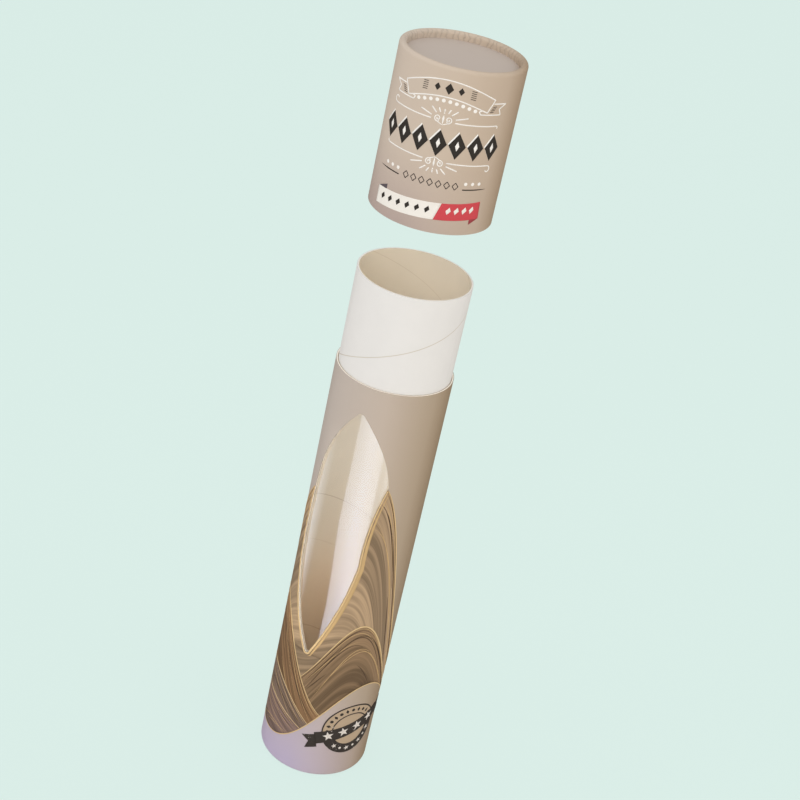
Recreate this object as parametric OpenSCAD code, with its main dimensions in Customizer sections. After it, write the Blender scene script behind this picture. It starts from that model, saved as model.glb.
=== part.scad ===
// Cylindrical gift tube box: a spiral-wound paper tube with a shaped window,
// a glued-in inner tube that stands out of it as a white neck, and a lid that
// slips over the neck. All sizes are in millimetres, +Z is up, and the origin
// is the centre of the circle on which the box stands. The window faces -Y.

/* [Outer tube] */
// Outside diameter of the printed tube and of the lid
tube_od = 65; // [40:0.5:120]
// Height of the printed tube, from the standing face to the top cut edge
tube_len = 265; // [120:1:400]
// Thickness of the printed wrap, laminated art paper
wrap_t = 0.25; // [0.2:0.05:0.5]
// Thickness of the spiral-wound board of the printed tube
tube_board_t = 0.9; // [0.6:0.05:2]

/* [Inner tube] */
// Height of neck left standing above the printed tube
neck_len = 56; // [20:1:120]
// Space between the two tubes, filled by the window film
film_t = 0.15; // [0.1:0.05:0.4]
// Thickness of the white paper around the inner tube
neck_paper_t = 0.2; // [0.15:0.05:0.4]
// Thickness of the spiral-wound board of the inner tube
neck_board_t = 0.7; // [0.5:0.05:2]
// Thickness of the beige lining papers
lining_t = 0.2; // [0.15:0.05:0.4]

/* [Lid] */
// Height of the lid over its rolled rim
lid_len = 85; // [40:1:150]
// Thickness of the spiral-wound board of the lid
lid_board_t = 0.55; // [0.4:0.05:1.5]
// Height at which the lid is held above the mouth of the neck
lid_lift = 38; // [0:1:100]

/* [Rolled rims and end discs] */
// Outside radius of the bead that the wall is rolled into
bead_r = 1.9; // [1.4:0.1:3]
// Depth of each end disc below the top of its bead
recess = 4.2; // [3.8:0.1:10]
// Depth to which the foot bead is pressed flat by standing
foot_flat = 0.1; // [0.05:0.01:0.2]
// Thickness of the greyboard in the end discs
disc_t = 1.6; // [1:0.1:3]
// Thickness of the papers on both faces of the end discs
disc_paper_t = 0.2; // [0.15:0.05:0.4]

/* [Window] */
// Width of the window, measured straight across
window_w = 43.8; // [20:0.2:50]
// Height of the window
window_h = 162; // [60:1:220]
// Height of the lowest point of the window above the standing face
window_z = 86; // [20:1:150]
// Flat steps along each of the arcs of the window edge
arc_steps = 8; // [4:1:16]
// Margin of clear film behind the board around the window
film_margin = 6; // [3:1:12]

/* [Hidden] */
$fn = 96;
eps = 0.5;
r_out = tube_od / 2;
r_board = r_out - wrap_t;
r_tube_in = r_board - tube_board_t;
r_neck = r_tube_in - film_t;
r_neck_board = r_neck - neck_paper_t;
r_lining = r_neck_board - neck_board_t;
r_bore = r_lining - lining_t;
neck_foot = recess + disc_t + 2 * disc_paper_t;
mouth_z = tube_len + neck_len;
lid_z = mouth_z + lid_lift;
r_lid_in = r_board - lid_board_t;
r_lid_bore = r_lid_in - lining_t;
lid_ceiling = lid_len - recess - disc_t - 2 * disc_paper_t;
film_half_w = window_w / 2 + film_margin;

// The window edge as shares of its half width and of its height, from the
// crown down the left side to the tip and up the right side past the notch
edge = [
    [-0.045, 0.994],
    [-0.51, 0.895],
    [-0.915, 0.70],
    [-0.985, 0.56],
    [-0.985, 0.42],
    [-0.76, 0.205],
    [-0.165, 0.006],
    [-0.105, 0.00],
    [-0.045, 0.009],
    [0.46, 0.205],
    [0.745, 0.41],
    [0.795, 0.585],
    [1.00, 0.748],
    [0.66, 0.897],
    [0.155, 0.994],
    [0.055, 1.00]
];

// A point of the edge in millimetres; past the last one it starts again
function share(i) = edge[i % len(edge)];
function at(i) = [share(i)[0] * window_w / 2, window_z + share(i)[1] * window_h];

// Centre of the circle through three points
function cross3(a, b, c) = 2 * (a[0] * (b[1] - c[1]) + b[0] * (c[1] - a[1]) + c[0] * (a[1] - b[1]));
function mid_x(a, b, c) = (a * a) * (b[1] - c[1]) + (b * b) * (c[1] - a[1]) + (c * c) * (a[1] - b[1]);
function mid_y(a, b, c) = (a * a) * (c[0] - b[0]) + (b * b) * (a[0] - c[0]) + (c * c) * (b[0] - a[0]);
function centre(a, b, c) = [mid_x(a, b, c), mid_y(a, b, c)] / cross3(a, b, c);

// Points along the arc from a through b towards c, without c itself
function turn(from, to) = (to - from + 900) % 360 - 180;
function bearing(o, p) = atan2(p[1] - o[1], p[0] - o[0]);
function arc_from(o, a, c) = [
    for (k = [0 : arc_steps - 1])
        let (t = bearing(o, a) + turn(bearing(o, a), bearing(o, c)) * k / arc_steps)
            o + norm(a - o) * [cos(t), sin(t)]
];
function arc(a, b, c) = arc_from(centre(a, b, c), a, c);
window_edge = [for (i = [0 : 2 : len(edge) - 2]) each arc(at(i), at(i + 1), at(i + 2))];

// A straight round wall between two radii
module ring(outer, inner, height) {
    difference() {
        cylinder(r = outer, h = height);
        translate([0, 0, -eps])
            cylinder(r = inner, h = height + 2 * eps);
    }
}

// Section of one ply of a wall that is rolled inwards at its top: the
// straight wall, the half round bead and the leg that presses on the disc.
// depth is how far the ply lies below the outer surface.
module rolled_section(length, depth, ply) {
    bead_x = r_out - bead_r;
    bead_z = length - bead_r;
    translate([r_out - depth - ply, 0])
        square([ply, bead_z]);
    translate([bead_x, bead_z])
        difference() {
            circle(r = bead_r - depth);
            circle(r = bead_r - depth - ply);
            translate([-2 * bead_r, -4 * bead_r])
                square([4 * bead_r, 4 * bead_r]);
        }
    translate([bead_x - bead_r + depth, length - recess])
        square([ply, recess - bead_r]);
}

module rolled_wall(length, depth, ply) {
    rotate_extrude()
        rolled_section(length, depth, ply);
}

// The printed tube is rolled at its foot, so its wall is turned over, and
// the bead is pressed flat where the box stands on it
module foot_rolled_wall(depth, ply) {
    difference() {
        translate([0, 0, tube_len])
            mirror([0, 0, 1])
                rolled_wall(tube_len + foot_flat, depth, ply);
        translate([0, 0, -2 * eps])
            cylinder(r = r_out + 1, h = 2 * eps);
    }
}

// The punch that cuts the window straight in from the front
module window_punch() {
    rotate([90, 0, 0])
        linear_extrude(height = r_out + 5)
            polygon(window_edge);
}

module tube_wrap() {
    color("#B8A694")
        difference() {
            foot_rolled_wall(0, wrap_t);
            window_punch();
        }
}

module tube_board() {
    color("#EFE4D3")
        difference() {
            foot_rolled_wall(wrap_t, tube_board_t);
            window_punch();
        }
}

// Clear film, curved between the two tubes and glued around the window
module window_film() {
    color([0.9, 0.93, 0.95, 0.35])
        intersection() {
            ring(r_tube_in, r_neck, mouth_z);
            translate([-film_half_w, -r_out, window_z - film_margin])
                cube([2 * film_half_w, r_out, window_h + 2 * film_margin]);
        }
}

module inner_ply(outer, inner) {
    difference() {
        translate([0, 0, neck_foot])
            ring(outer, inner, mouth_z - neck_foot);
        window_punch();
    }
}

module neck_paper() {
    color("#E6E3DD")
        inner_ply(r_neck, r_neck_board);
}

module neck_board() {
    color("#D9C9AE")
        inner_ply(r_neck_board, r_lining);
}

module neck_lining() {
    color("#CBBAA0")
        inner_ply(r_lining, r_bore);
}

// The foot disc: outer paper, greyboard and inner lining
module base_paper() {
    color("#B8AC9E")
        translate([0, 0, recess - foot_flat])
            cylinder(r = r_tube_in, h = disc_paper_t);
}

module base_board() {
    color("#9C9488")
        translate([0, 0, recess - foot_flat + disc_paper_t])
            cylinder(r = r_tube_in, h = disc_t + foot_flat);
}

module base_lining() {
    color("#CBBAA0")
        translate([0, 0, neck_foot - disc_paper_t])
            cylinder(r = r_tube_in, h = disc_paper_t);
}

module lid_wrap() {
    color("#CBBBAC")
        translate([0, 0, lid_z])
            rolled_wall(lid_len, 0, wrap_t);
}

module lid_board() {
    color("#EFE4D3")
        translate([0, 0, lid_z])
            rolled_wall(lid_len, wrap_t, lid_board_t);
}

module lid_lining() {
    color("#CBBAA0")
        translate([0, 0, lid_z])
            ring(r_lid_in, r_lid_bore, lid_ceiling);
}

// The lid disc: printed paper on top, greyboard and lining underneath
module lid_top_paper() {
    color("#B8AC9E")
        translate([0, 0, lid_z + lid_len - recess - disc_paper_t])
            cylinder(r = r_lid_in, h = disc_paper_t);
}

module lid_top_board() {
    color("#9C9488")
        translate([0, 0, lid_z + lid_ceiling + disc_paper_t])
            cylinder(r = r_lid_in, h = disc_t);
}

module lid_top_lining() {
    color("#CBBAA0")
        translate([0, 0, lid_z + lid_ceiling])
            cylinder(r = r_lid_in, h = disc_paper_t);
}

tube_wrap();
tube_board();
window_film();
neck_paper();
neck_board();
neck_lining();
base_board();
base_paper();
base_lining();
lid_wrap();
lid_board();
lid_lining();
lid_top_board();
lid_top_paper();
lid_top_lining();
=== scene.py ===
import math

import bpy
from mathutils import Matrix, Vector
import numpy as np


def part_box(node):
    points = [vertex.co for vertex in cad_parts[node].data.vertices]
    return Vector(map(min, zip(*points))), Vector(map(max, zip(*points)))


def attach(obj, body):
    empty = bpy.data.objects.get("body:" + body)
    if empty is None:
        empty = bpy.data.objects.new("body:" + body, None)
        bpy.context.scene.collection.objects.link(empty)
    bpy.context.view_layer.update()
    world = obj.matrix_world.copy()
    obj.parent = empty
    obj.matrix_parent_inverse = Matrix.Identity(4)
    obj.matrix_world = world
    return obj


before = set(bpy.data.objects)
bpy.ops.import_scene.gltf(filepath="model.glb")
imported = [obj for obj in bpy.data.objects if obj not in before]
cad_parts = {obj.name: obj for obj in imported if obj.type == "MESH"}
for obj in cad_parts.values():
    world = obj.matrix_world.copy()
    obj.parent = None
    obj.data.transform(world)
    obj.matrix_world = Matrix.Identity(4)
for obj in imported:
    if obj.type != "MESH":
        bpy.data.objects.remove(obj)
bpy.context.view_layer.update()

bl_info = {
    "name": "Gift Tube Box",
    "version": (1, 0, 0),
    "blender": (4, 5, 0),
    "location": "3D View > Sidebar > Gift Tube",
    "description": "Prints, papers, film and studio for a cylindrical gift tube box",
    "category": "Add Mesh",
}

MM = 0.001
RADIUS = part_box("tube_wrap")[1].x / MM
LID_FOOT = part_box("lid_wrap")[0].z / MM
LID_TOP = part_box("lid_wrap")[1].z / MM
RIM = 4.4  # depth of the lid's rolled rim, in mm
INK = 0.02  # height of one layer of print, in mm
BURIED = 0.004  # height of the back of the print, in mm
VIEW_TURN = 23.1  # degrees from the window to the camera, round the tube
FULL_TURN = 2 * math.pi * RADIUS


# Colours


def linear(code):
    """An sRGB hex colour such as #B8A694 as linear red, green and blue."""
    parts = [int(code[i : i + 2], 16) / 255 for i in (1, 3, 5)]
    return tuple(c / 12.92 if c <= 0.04045 else ((c + 0.055) / 1.055) ** 2.4 for c in parts)


def colour(label, words, code):
    """A colour setting whose default is a hex colour."""
    return bpy.props.FloatVectorProperty(
        name=label, description=words, default=linear(code), size=3, min=0, max=1, subtype="COLOR"
    )


def amount(label, words, value, low, high, **more):
    """A number setting between low and high."""
    return bpy.props.FloatProperty(
        name=label, description=words, default=value, min=low, max=high, **more
    )


def number(label, words, value, low, high):
    """A whole number setting between low and high."""
    return bpy.props.IntProperty(name=label, description=words, default=value, min=low, max=high)


# Settings that a user would change


class PaperSettings(bpy.types.PropertyGroup):
    # The wrap tints of tube and lid are one printed paper with painted light and shade on it:
    # lighter at the left, darker at the right, as seen from the camera.
    tube_wrap: colour("Tube wrap", "Print of the tube at the left", "#C0B6AD")
    tube_middle: colour("Tube wrap, middle", "Print of the tube in front", "#C2B4A6")
    tube_right_painted_shade: colour("Tube wrap, right", "Print of the tube at the right", "#B1A08A")
    # painted lilac light at the tube's foot, strongest at the left
    tube_foot_painted_lilac_light: colour("Tube wrap, foot", "Print of the tube at the foot", "#BFB4CC")
    lid_wrap: colour("Lid wrap", "Print of the lid at the left", "#CDBFB0")
    lid_middle: colour("Lid wrap, middle", "Print of the lid in front", "#C9B9A7")
    lid_right_painted_shade: colour("Lid wrap, right", "Print of the lid at the right", "#C0AE9A")
    # painted shade at the lid's open end
    lid_foot_painted_shade: colour("Lid wrap, foot", "Print of the lid at its open end", "#B3A29A")
    disc_paper: colour("Disc paper", "Paper on the lid's disc and the foot disc", "#C2B6AC")
    neck_paper: colour("Neck paper", "White paper of the neck", "#E6E5E2")
    lining: colour("Lining", "Beige paper inside the tube and lid", "#E8DECB")
    board: colour("Board edge", "Cream cut edge of the outer board", "#FCF5E9")
    inner_board: colour("Inner board edge", "Cut edge of the inner tube's board", "#FBF8F2")
    greyboard: colour("Greyboard", "Discs in the lid and the foot", "#9C9488")
    seam_pitch: amount("Seam pitch", "Rise of the neck's seam in a turn, in mm", 88.0, 20, 200)
    lining_pitch: amount("Lining pitch", "Rise of its seams in a turn, in mm", 94.0, 20, 200)


class FilmSettings(bpy.types.PropertyGroup):
    tint: colour("Film tint", "Colour of the clear film", "#FBFCFB")
    roughness: amount("Roughness", "Roughness of the film", 0.0, 0, 1, subtype="FACTOR")


class DuneSettings(bpy.types.PropertyGroup):
    far: colour("Far dune", "Tan of the tallest dune", "#A78F72")
    right: colour("Right dune", "Brown of the dune beside the window", "#897156")
    left: colour("Left dune", "Bronze of the left dune", "#886A4C")
    mid: colour("Middle dune", "Dark grey brown of the middle dune", "#776558")
    near: colour("Near dune", "Mauve brown of the lowest dune", "#7F6A62")
    crest: colour("Crest lines", "Pale gold of the crest lines", "#DEC292")
    shade: colour("Shade lines", "Dark brown lines under the crests", "#5B4939")
    crest_width: amount("Crest width", "Width of the crest lines, in mm", 0.9, 0.2, 4)
    ripples: number("Ripples", "Ripple lines on each dune", 6, 0, 12)


class LabelSettings(bpy.types.PropertyGroup):
    white: colour("White ink", "Outlines, dots and rays", "#F4F1EB")
    dark: colour("Dark ink", "Lozenges and rules", "#37332F")
    red: colour("Red ink", "Right part of the flag ribbon", "#CE4A52")
    cream: colour("Cream ink", "Left part of the flag ribbon", "#EFEBE3")
    fold_dark: colour("Dark fold", "Fold at the ribbon's left end", "#5C545A")
    fold_red: colour("Red fold", "Fold at the ribbon's right end", "#9C4449")
    line: amount("Line width", "Width of the white outlines, in mm", 0.62, 0.2, 2)
    lozenges: number("Lozenges", "Lozenges in the large row", 7, 1, 12)


class SealSettings(bpy.types.PropertyGroup):
    ink: colour("Seal ink", "Dark ink of the round seal", "#3F3A36")
    pale: colour("Pale ink", "Stars on the seal's ribbon", "#E6DFD6")
    ground: colour("Ground", "Pale ground inside the seal", "#B9A48A")
    radius: amount("Radius", "Outer radius of the seal, in mm", 18.0, 5, 25)
    along: amount("Place along", "Distance from the window to the right, in mm", 34.7, 0, 100)
    height: amount("Height", "Height of its centre, in mm", 35.3, 20, 100)
    tilt: amount("Tilt", "Tilt of the ribbon", math.radians(18), -3.2, 3.2, subtype="ANGLE")


class StageSettings(bpy.types.PropertyGroup):
    backdrop: colour("Backdrop", "Pale floor behind the object", "#DAEDE7")
    bounce: colour("Floor light", "Colour that the floor throws on the object", "#E9E5E0")
    mirrored: colour("Mirrored room", "Colour that glossy surfaces mirror", "#C9B8A4")
    sky: amount("Room light", "Strength of the even light all round", 0.8, 0, 5)
    key: amount("Main light", "Soft box at the left", 2.4, 0, 200, unit="POWER")
    front: amount("Front light", "Soft box in front", 0.5, 0, 200, unit="POWER")
    warm: amount("Warm light", "Warm soft box at the right", 2.5, 0, 50, unit="POWER")
    top: amount("Top light", "Soft box overhead", 0.8, 0, 50, unit="POWER")
    inner: amount("Inner light", "Fill inside the tube", 0.018, 0, 5, unit="POWER")
    edge: amount("Edge light", "Beam on the window's left edge", 0.0045, 0, 5, unit="POWER")
    sheen: amount("Film sheen", "Strength of the card mirrored in the film", 8.8, 0, 50)
    lens: amount("Lens", "Focal length on a 36 mm frame", 76.1, 20, 300, subtype="DISTANCE_CAMERA")


class GiftTubeSettings(bpy.types.PropertyGroup):
    paper: bpy.props.PointerProperty(type=PaperSettings)
    film: bpy.props.PointerProperty(type=FilmSettings)
    dune: bpy.props.PointerProperty(type=DuneSettings)
    label: bpy.props.PointerProperty(type=LabelSettings)
    seal: bpy.props.PointerProperty(type=SealSettings)
    stage: bpy.props.PointerProperty(type=StageSettings)


# Print as thin closed layers on the round wall. A shape is a grid of places:
# s is the distance round the wall to the right and z the height, both in mm.
# Layers on the tube, from below: the dunes 0 to 4, ripples and shades 5, crests 6,
# the seal's ground 7, its rings 8, its ribbon 8 and 9, its stars 11.


def skin(s, z, layer, turn=0.0, ring=False, uv=None):
    """A layer of ink over the grid (s, z).

    A point (s, z) goes to the angle turn + s / radius round the axis, seen from
    -Y, and to the height z. The front lies (layer + 1) inks over the paper, the
    back on the paper, and edge strips close the two. ring joins the last column
    to the first. Returns corners, faces, a smooth flag a face and a UV a corner.
    """
    if uv is None:
        uv = (s / 100, z / 100)
    ds, dz = np.gradient(s), np.gradient(z)
    if (ds[0] * dz[1] - ds[1] * dz[0]).mean() < 0:
        s, z, uv = s[:, ::-1], z[:, ::-1], (uv[0][:, ::-1], uv[1][:, ::-1])
    nu, nv = s.shape
    angle = turn - math.pi / 2 + s / RADIUS
    shells = [
        np.stack([reach * np.cos(angle), reach * np.sin(angle), z], -1).reshape(-1, 3)
        for reach in (RADIUS + INK * (layer + 1), RADIUS + BURIED)
    ]
    corners = np.concatenate(shells) * MM
    index = np.arange(nu * nv).reshape(nu, nv)
    if ring:
        index = np.vstack([index, index[:1]])
    a, b, c, d = index[:-1, :-1], index[1:, :-1], index[1:, 1:], index[:-1, 1:]
    front = np.stack([a, b, c, d], -1).reshape(-1, 4)
    back = front[:, ::-1] + nu * nv
    rim = [index[:, 0], index[::-1, -1]]
    if not ring:
        rim += [index[-1, :], index[0, ::-1]]
    edge = [np.stack([r[1:], r[:-1], r[:-1] + nu * nv, r[1:] + nu * nv], -1) for r in rim]
    faces = np.concatenate([front, back, *edge])
    smooth = np.zeros(len(faces), bool)
    smooth[: 2 * len(front)] = True
    places = np.stack([uv[0].ravel(), uv[1].ravel()], -1)
    return corners, faces, smooth, np.concatenate([places, places])


def put_piece(name, parts, material, body):
    """One Blender object from a list of skins, riding on a body."""
    offsets = np.cumsum([0] + [len(p[0]) for p in parts[:-1]])
    corners = np.concatenate([p[0] for p in parts])
    faces = np.concatenate([p[1] + o for p, o in zip(parts, offsets)])
    smooth = np.concatenate([p[2] for p in parts])
    places = np.concatenate([p[3] for p in parts])
    mesh = bpy.data.meshes.new(name)
    mesh.vertices.add(len(corners))
    mesh.vertices.foreach_set("co", corners.astype(np.float32).ravel())
    mesh.loops.add(faces.size)
    mesh.loops.foreach_set("vertex_index", faces.ravel().astype(np.int32))
    mesh.polygons.add(len(faces))
    mesh.polygons.foreach_set("loop_start", np.arange(0, faces.size, 4, dtype=np.int32))
    mesh.polygons.foreach_set("use_smooth", smooth)
    layer = mesh.uv_layers.new(name="print")
    layer.data.foreach_set("uv", places[faces.ravel()].astype(np.float32).ravel())
    mesh.update(calc_edges=True)
    if mesh.validate():
        raise RuntimeError(name + ": the mesh needed mending")
    mesh.materials.append(material)
    piece = bpy.data.objects.new(name, mesh)
    bpy.context.scene.collection.objects.link(piece)
    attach(piece, body)


def spread(low, high, count):
    """Even steps from low to high."""
    return np.linspace(low, high, count)


def patch(corners, layer, turn=0.0, fine=1.2):
    """A four-sided patch: points between four corners, mixed straight along both
    ways, with cells about fine mm wide."""
    p = np.array(corners, float)
    steps = spread(0, 1, int(np.ptp(p[:, 0]) / fine) + 2)
    u, v = steps[:, None], steps[None, :]
    shares = (1 - u) * (1 - v), u * (1 - v), u * v, (1 - u) * v
    mixed = [sum(share * p[n, k] for n, share in enumerate(shares)) for k in (0, 1)]
    return skin(*mixed, layer, turn)


def disc(s0, z0, radius, layer, turn=0.0, count=9):
    """A round spot: a square grid (u, v) pressed into a circle by
    u * sqrt(1 - v * v / 2) and v * sqrt(1 - u * u / 2)."""
    u, v = np.meshgrid(spread(-1, 1, count), spread(-1, 1, count), indexing="ij")
    s, z = s0 + radius * u * np.sqrt(1 - v * v / 2), z0 + radius * v * np.sqrt(1 - u * u / 2)
    return skin(s, z, layer, turn)


def hoop(s0, z0, inner, outer, layer, turn=0.0, span=None, count=96):
    """A flat ring: all bearings between two radii, closed on itself. span, a
    pair of bearings in degrees, makes it a part of a ring."""
    low, high = span or (0, 360)
    bearing = np.radians(spread(low, high, count + 1))[:, None]
    if span is None:
        bearing = bearing[:-1]
    reach = spread(inner, outer, 3 + int((outer - inner) / 1.2))[None, :]
    s, z = s0 + reach * np.cos(bearing), z0 + reach * np.sin(bearing)
    return skin(s, z, layer, turn, span is None)


def stroke(path, width, layer, turn=0.0, taper=(1.0, 1.0)):
    """A line of ink: the path, moved to each side along its normal by half the
    width, which goes from taper[0] to 1 to taper[1] times width along it."""
    p = np.array(path, float)
    way = np.gradient(p, axis=0)
    way /= np.linalg.norm(way, axis=1, keepdims=True)
    side = np.stack([-way[:, 1], way[:, 0]], -1)
    t = spread(0, 1, len(p))
    start, end = (
        least + (1 - least) * np.sin(np.minimum(way_in * 2, 1) * math.pi / 2)
        for least, way_in in zip(taper, (t, 1 - t))
    )
    share = np.where(t < 0.5, start, end)
    across = spread(-0.5, 0.5, 3)[None, :] * (width * share)[:, None]
    s = p[:, 0][:, None] + side[:, 0][:, None] * across
    z = p[:, 1][:, None] + side[:, 1][:, None] * across
    return skin(s, z, layer, turn)


def line(a, b, width, layer, turn=0.0, taper=(1.0, 1.0), fine=0.8):
    """A straight stroke from a to b."""
    a, b = np.array(a, float), np.array(b, float)
    t = spread(0, 1, max(3, int(np.linalg.norm(b - a) / fine) + 2))[:, None]
    return stroke(a + (b - a) * t, width, layer, turn, taper)


def curl(start, turns, outer, inner, count=40):
    """Points of a scroll round (0, 0): the bearing runs from start through turns
    (full turns, minus for clockwise) while the radius shrinks evenly."""
    t = spread(0, 1, count)
    bearing = math.radians(start) + turns * 2 * math.pi * t
    reach = outer + (inner - outer) * t
    return np.stack([reach * np.cos(bearing), reach * np.sin(bearing)], -1)


def star(s0, z0, radius, tilt, layer, turn=0.0):
    """Five kites round a centre: tip at the radius, notches at 0.42 of it."""
    made = []
    for k in range(5):
        tip = math.radians(90 + 72 * k) + tilt
        ends = [(tip - math.pi / 5, 0.42), (tip, 1.0), (tip + math.pi / 5, 0.42)]
        points = [(s0 + radius * r * math.cos(q), z0 + radius * r * math.sin(q)) for q, r in ends]
        made.append(patch([(s0, z0), *points], layer, turn))
    return made


# Materials

# Kinds of node with their own settings, as add takes them
PLUS, MINUS, TIMES, OVER, POWER, MOST, FOLD, SINE, SIZE, BEARING, ABOVE, BELOW = (
    ("Math", {"operation": operation})
    for operation in (
        "ADD", "SUBTRACT", "MULTIPLY", "DIVIDE", "POWER", "MAXIMUM", "PINGPONG", "SINE",
        "ABSOLUTE", "ARCTAN2", "GREATER_THAN", "LESS_THAN",
    )
)
PLUS_HELD, MINUS_HELD = (("Math", {**kind[1], "use_clamp": True}) for kind in (PLUS, MINUS))
LENGTH, DOT = (("VectorMath", {"operation": o}) for o in ("LENGTH", "DOT_PRODUCT"))
BLEND, TINTED = (("Mix", {"data_type": "RGBA", "blend_type": b}) for b in ("MIX", "MULTIPLY"))
DENT = ("Bump", {"invert": True})


def new_material(name, roughness, ior=1.5):
    """A material with an empty tree but for a Principled shader and its output."""
    material = bpy.data.materials.new(name)
    material.use_nodes = True
    tree = material.node_tree
    shader = tree.nodes["Principled BSDF"]
    join(tree, shader, Roughness=roughness, IOR=ior)
    return material, tree, shader


def join(tree, node, *inputs, **named):
    """Fills a node's sockets: inputs in their order, named ones by name (with _
    for a space) or number (as i6). Each is a value, a socket, or a node, which
    stands for its first enabled output."""
    for key, value in [*enumerate(inputs), *named.items()]:
        if isinstance(key, str):
            key = int(key[1:]) if key[1:].isdigit() else key.replace("_", " ")
        if isinstance(value, bpy.types.Node):
            value = next(socket for socket in value.outputs if socket.enabled)
        if isinstance(value, bpy.types.NodeSocket):
            tree.links.new(value, node.inputs[key])
        else:
            node.inputs[key].default_value = value


def add(tree, kind, *inputs, **named):
    """Adds a shader node and fills its sockets. kind is its name, or a pair of its
    name and its settings, with a ramp's stops as pairs of place and colour."""
    name, settings = (kind, {}) if isinstance(kind, str) else kind
    node = tree.nodes.new("ShaderNode" + name)
    for key, value in settings.items():
        if key == "stops":
            ramp = node.color_ramp.elements
            ramp[0].color, ramp[1].color = value[0][1], value[-1][1]
            ramp[0].position, ramp[1].position = value[0][0], value[-1][0]
            for spot, tint in value[1:-1]:
                ramp.new(spot).color = tint
        else:
            setattr(node, key, value)
    join(tree, node, *inputs, **named)
    return node


def rgba(c, shade=1.0):
    """A colour times shade, with full alpha."""
    return (c[0] * shade, c[1] * shade, c[2] * shade, 1.0)


def paper_grain(tree, shader, size_mm, depth_mm, low, high):
    """Fine fibre relief, and a gloss that goes from low to high with it."""
    place = add(tree, "TexCoord").outputs["Object"]
    grain = add(tree, "TexNoise", Vector=place, Scale=1 / (size_mm * MM), Detail=3.0)
    gloss = add(tree, "MapRange", Value=grain, To_Min=low, To_Max=high)
    relief = add(tree, "Bump", Height=grain, Strength=0.35, Distance=depth_mm * MM)
    join(tree, shader, Roughness=gloss, Normal=relief)
    return place, grain, relief


def laminate(tree, shader, grain_depth):
    """The satin film over a print: a faint thin coat over fine paper grain."""
    join(tree, shader, Coat_Weight=0.05, Specular_IOR_Level=0.15, Coat_Roughness=0.22)
    return paper_grain(tree, shader, 0.8, grain_depth, 0.48, 0.58)


def mottled(tree, shader, place, tint, size_mm, share):
    """Base colour that drifts by a share either side of tint over size_mm."""
    cloud = add(tree, "TexNoise", Vector=place, Scale=1 / (size_mm * MM), Detail=2.0)
    level = add(tree, "MapRange", Value=cloud, To_Min=1 - share, To_Max=1 + share)
    tint = tint if isinstance(tint, bpy.types.Node) else rgba(tint)
    mix = add(tree, TINTED, 1.0, i6=tint, i7=level)
    join(tree, shader, Base_Color=mix)
    return mix


def from_axis(tree, x, y):
    """Distance from the tube's axis."""
    return add(tree, LENGTH, add(tree, "CombineXYZ", x, y))


def spiral_seam(tree, place, pitch_mm, start_mm, width_mm):
    """1 on a butt seam and 0 off it: the height less the turn's share of the
    pitch, in whole pitches, is near a whole number on the seam."""
    x, y, z = add(tree, "SeparateXYZ", place).outputs
    rise = add(tree, TIMES, add(tree, BEARING, y, x), pitch_mm * MM / (2 * math.pi))
    shifted = add(tree, MINUS, add(tree, MINUS, z, rise), start_mm * MM)
    near = add(tree, FOLD, add(tree, OVER, shifted, pitch_mm * MM), 0.5)
    return add(tree, MINUS_HELD, 1.0, add(tree, OVER, near, width_mm / pitch_mm / 2))


def seamed_paper(name, tint, seam_tint, pitch, starts, roughness):
    """Uncoated paper wound round a tube: faint mottling, fine fibre, and
    hairline butt seams that run up the tube in a spiral. Each start is a height
    in mm and how strongly that seam shows."""
    material, tree, shader = new_material(name, roughness)
    join(tree, shader, Specular_IOR_Level=0.15)
    place, _, relief = paper_grain(tree, shader, 0.5, 0.03, roughness - 0.05, roughness + 0.05)
    mix = mottled(tree, shader, place, tint, 9, 0.025)
    seam = 0.0
    for start, share in starts:
        other = spiral_seam(tree, place, pitch, start, 0.4 + 0.5 * share)
        seam = add(tree, MOST, seam, add(tree, TIMES, other, share))
    inked = add(tree, BLEND, seam, i6=mix, i7=rgba(seam_tint))
    dent = {"Height": seam, "Strength": 0.6, "Distance": 0.1 * MM, "Normal": relief}
    join(tree, shader, Base_Color=inked, Normal=add(tree, DENT, **dent))
    return material


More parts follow.
